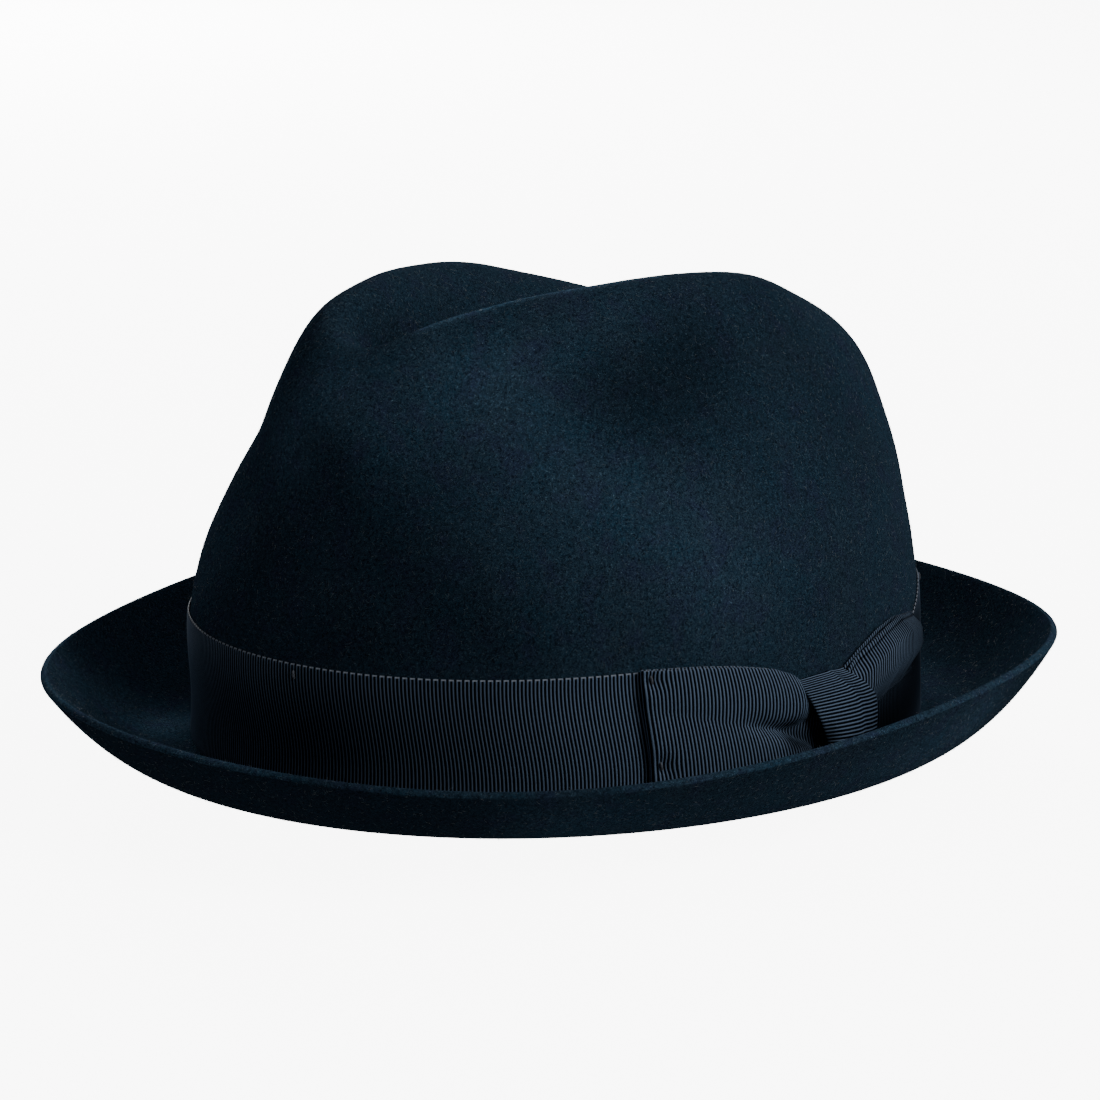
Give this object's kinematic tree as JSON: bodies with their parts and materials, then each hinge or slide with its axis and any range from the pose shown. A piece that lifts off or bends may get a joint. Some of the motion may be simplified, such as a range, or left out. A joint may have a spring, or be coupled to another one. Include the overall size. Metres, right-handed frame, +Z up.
{
  "type": "fedora hat",
  "caption": "Wool felt fedora with a creased and dented crown, a turned-up snap brim, a ribbed ribbon band and a flat side bow; leather sweatband and satin lining inside.",
  "frame": {"origin": "on the plane the brim rests on, below the centre of the brim's outline", "axes": "+X towards the wearer's left, where the bow sits; -Y is the front of the hat; +Z up through the crown"},
  "size_m": [0.2448, 0.2858, 0.1282],
  "materials": {
    "felt": "matte wool felt, short nap, dark navy with paler fibres",
    "ribbon": "ribbed grosgrain, low sheen, dark navy",
    "thread": "dark navy thread",
    "sweatband_leather": "smooth brown leather, satin",
    "reed": "milky plastic",
    "reed_tape": "woven cotton tape, black",
    "light_thread": "tan thread",
    "satin": "glossy satin, dark navy",
    "piping": "corded satin, dark navy",
    "label_tape": "plain woven tape, off-white, blank"
  },
  "bodies": {
    "hat_body": {"crown_and_rear_brim": "felt", "hat_band": "ribbon", "bow_front_wing": "ribbon", "bow_rear_wing": "ribbon", "bow_knot": "ribbon", "band_tacks": "thread", "bow_tacks": "thread", "sweatband": "sweatband_leather", "sweatband_reed": "reed", "reed_cover": "reed_tape", "sweatband_stitching": "light_thread", "sweatband_bow": "ribbon", "lining_side": "satin", "lining_tip": "satin", "lining_piping": "piping", "size_label": "label_tape"},
    "brim_front": {"front_brim": "felt"}
  },
  "joints": [
    {"name": "front_brim_snap", "type": "hinge", "parent": "hat_body", "child": "brim_front", "pos_m": [0, -0.108, 0], "axis": [1, 0, 0], "range_deg": [0, 35]}
  ]
}
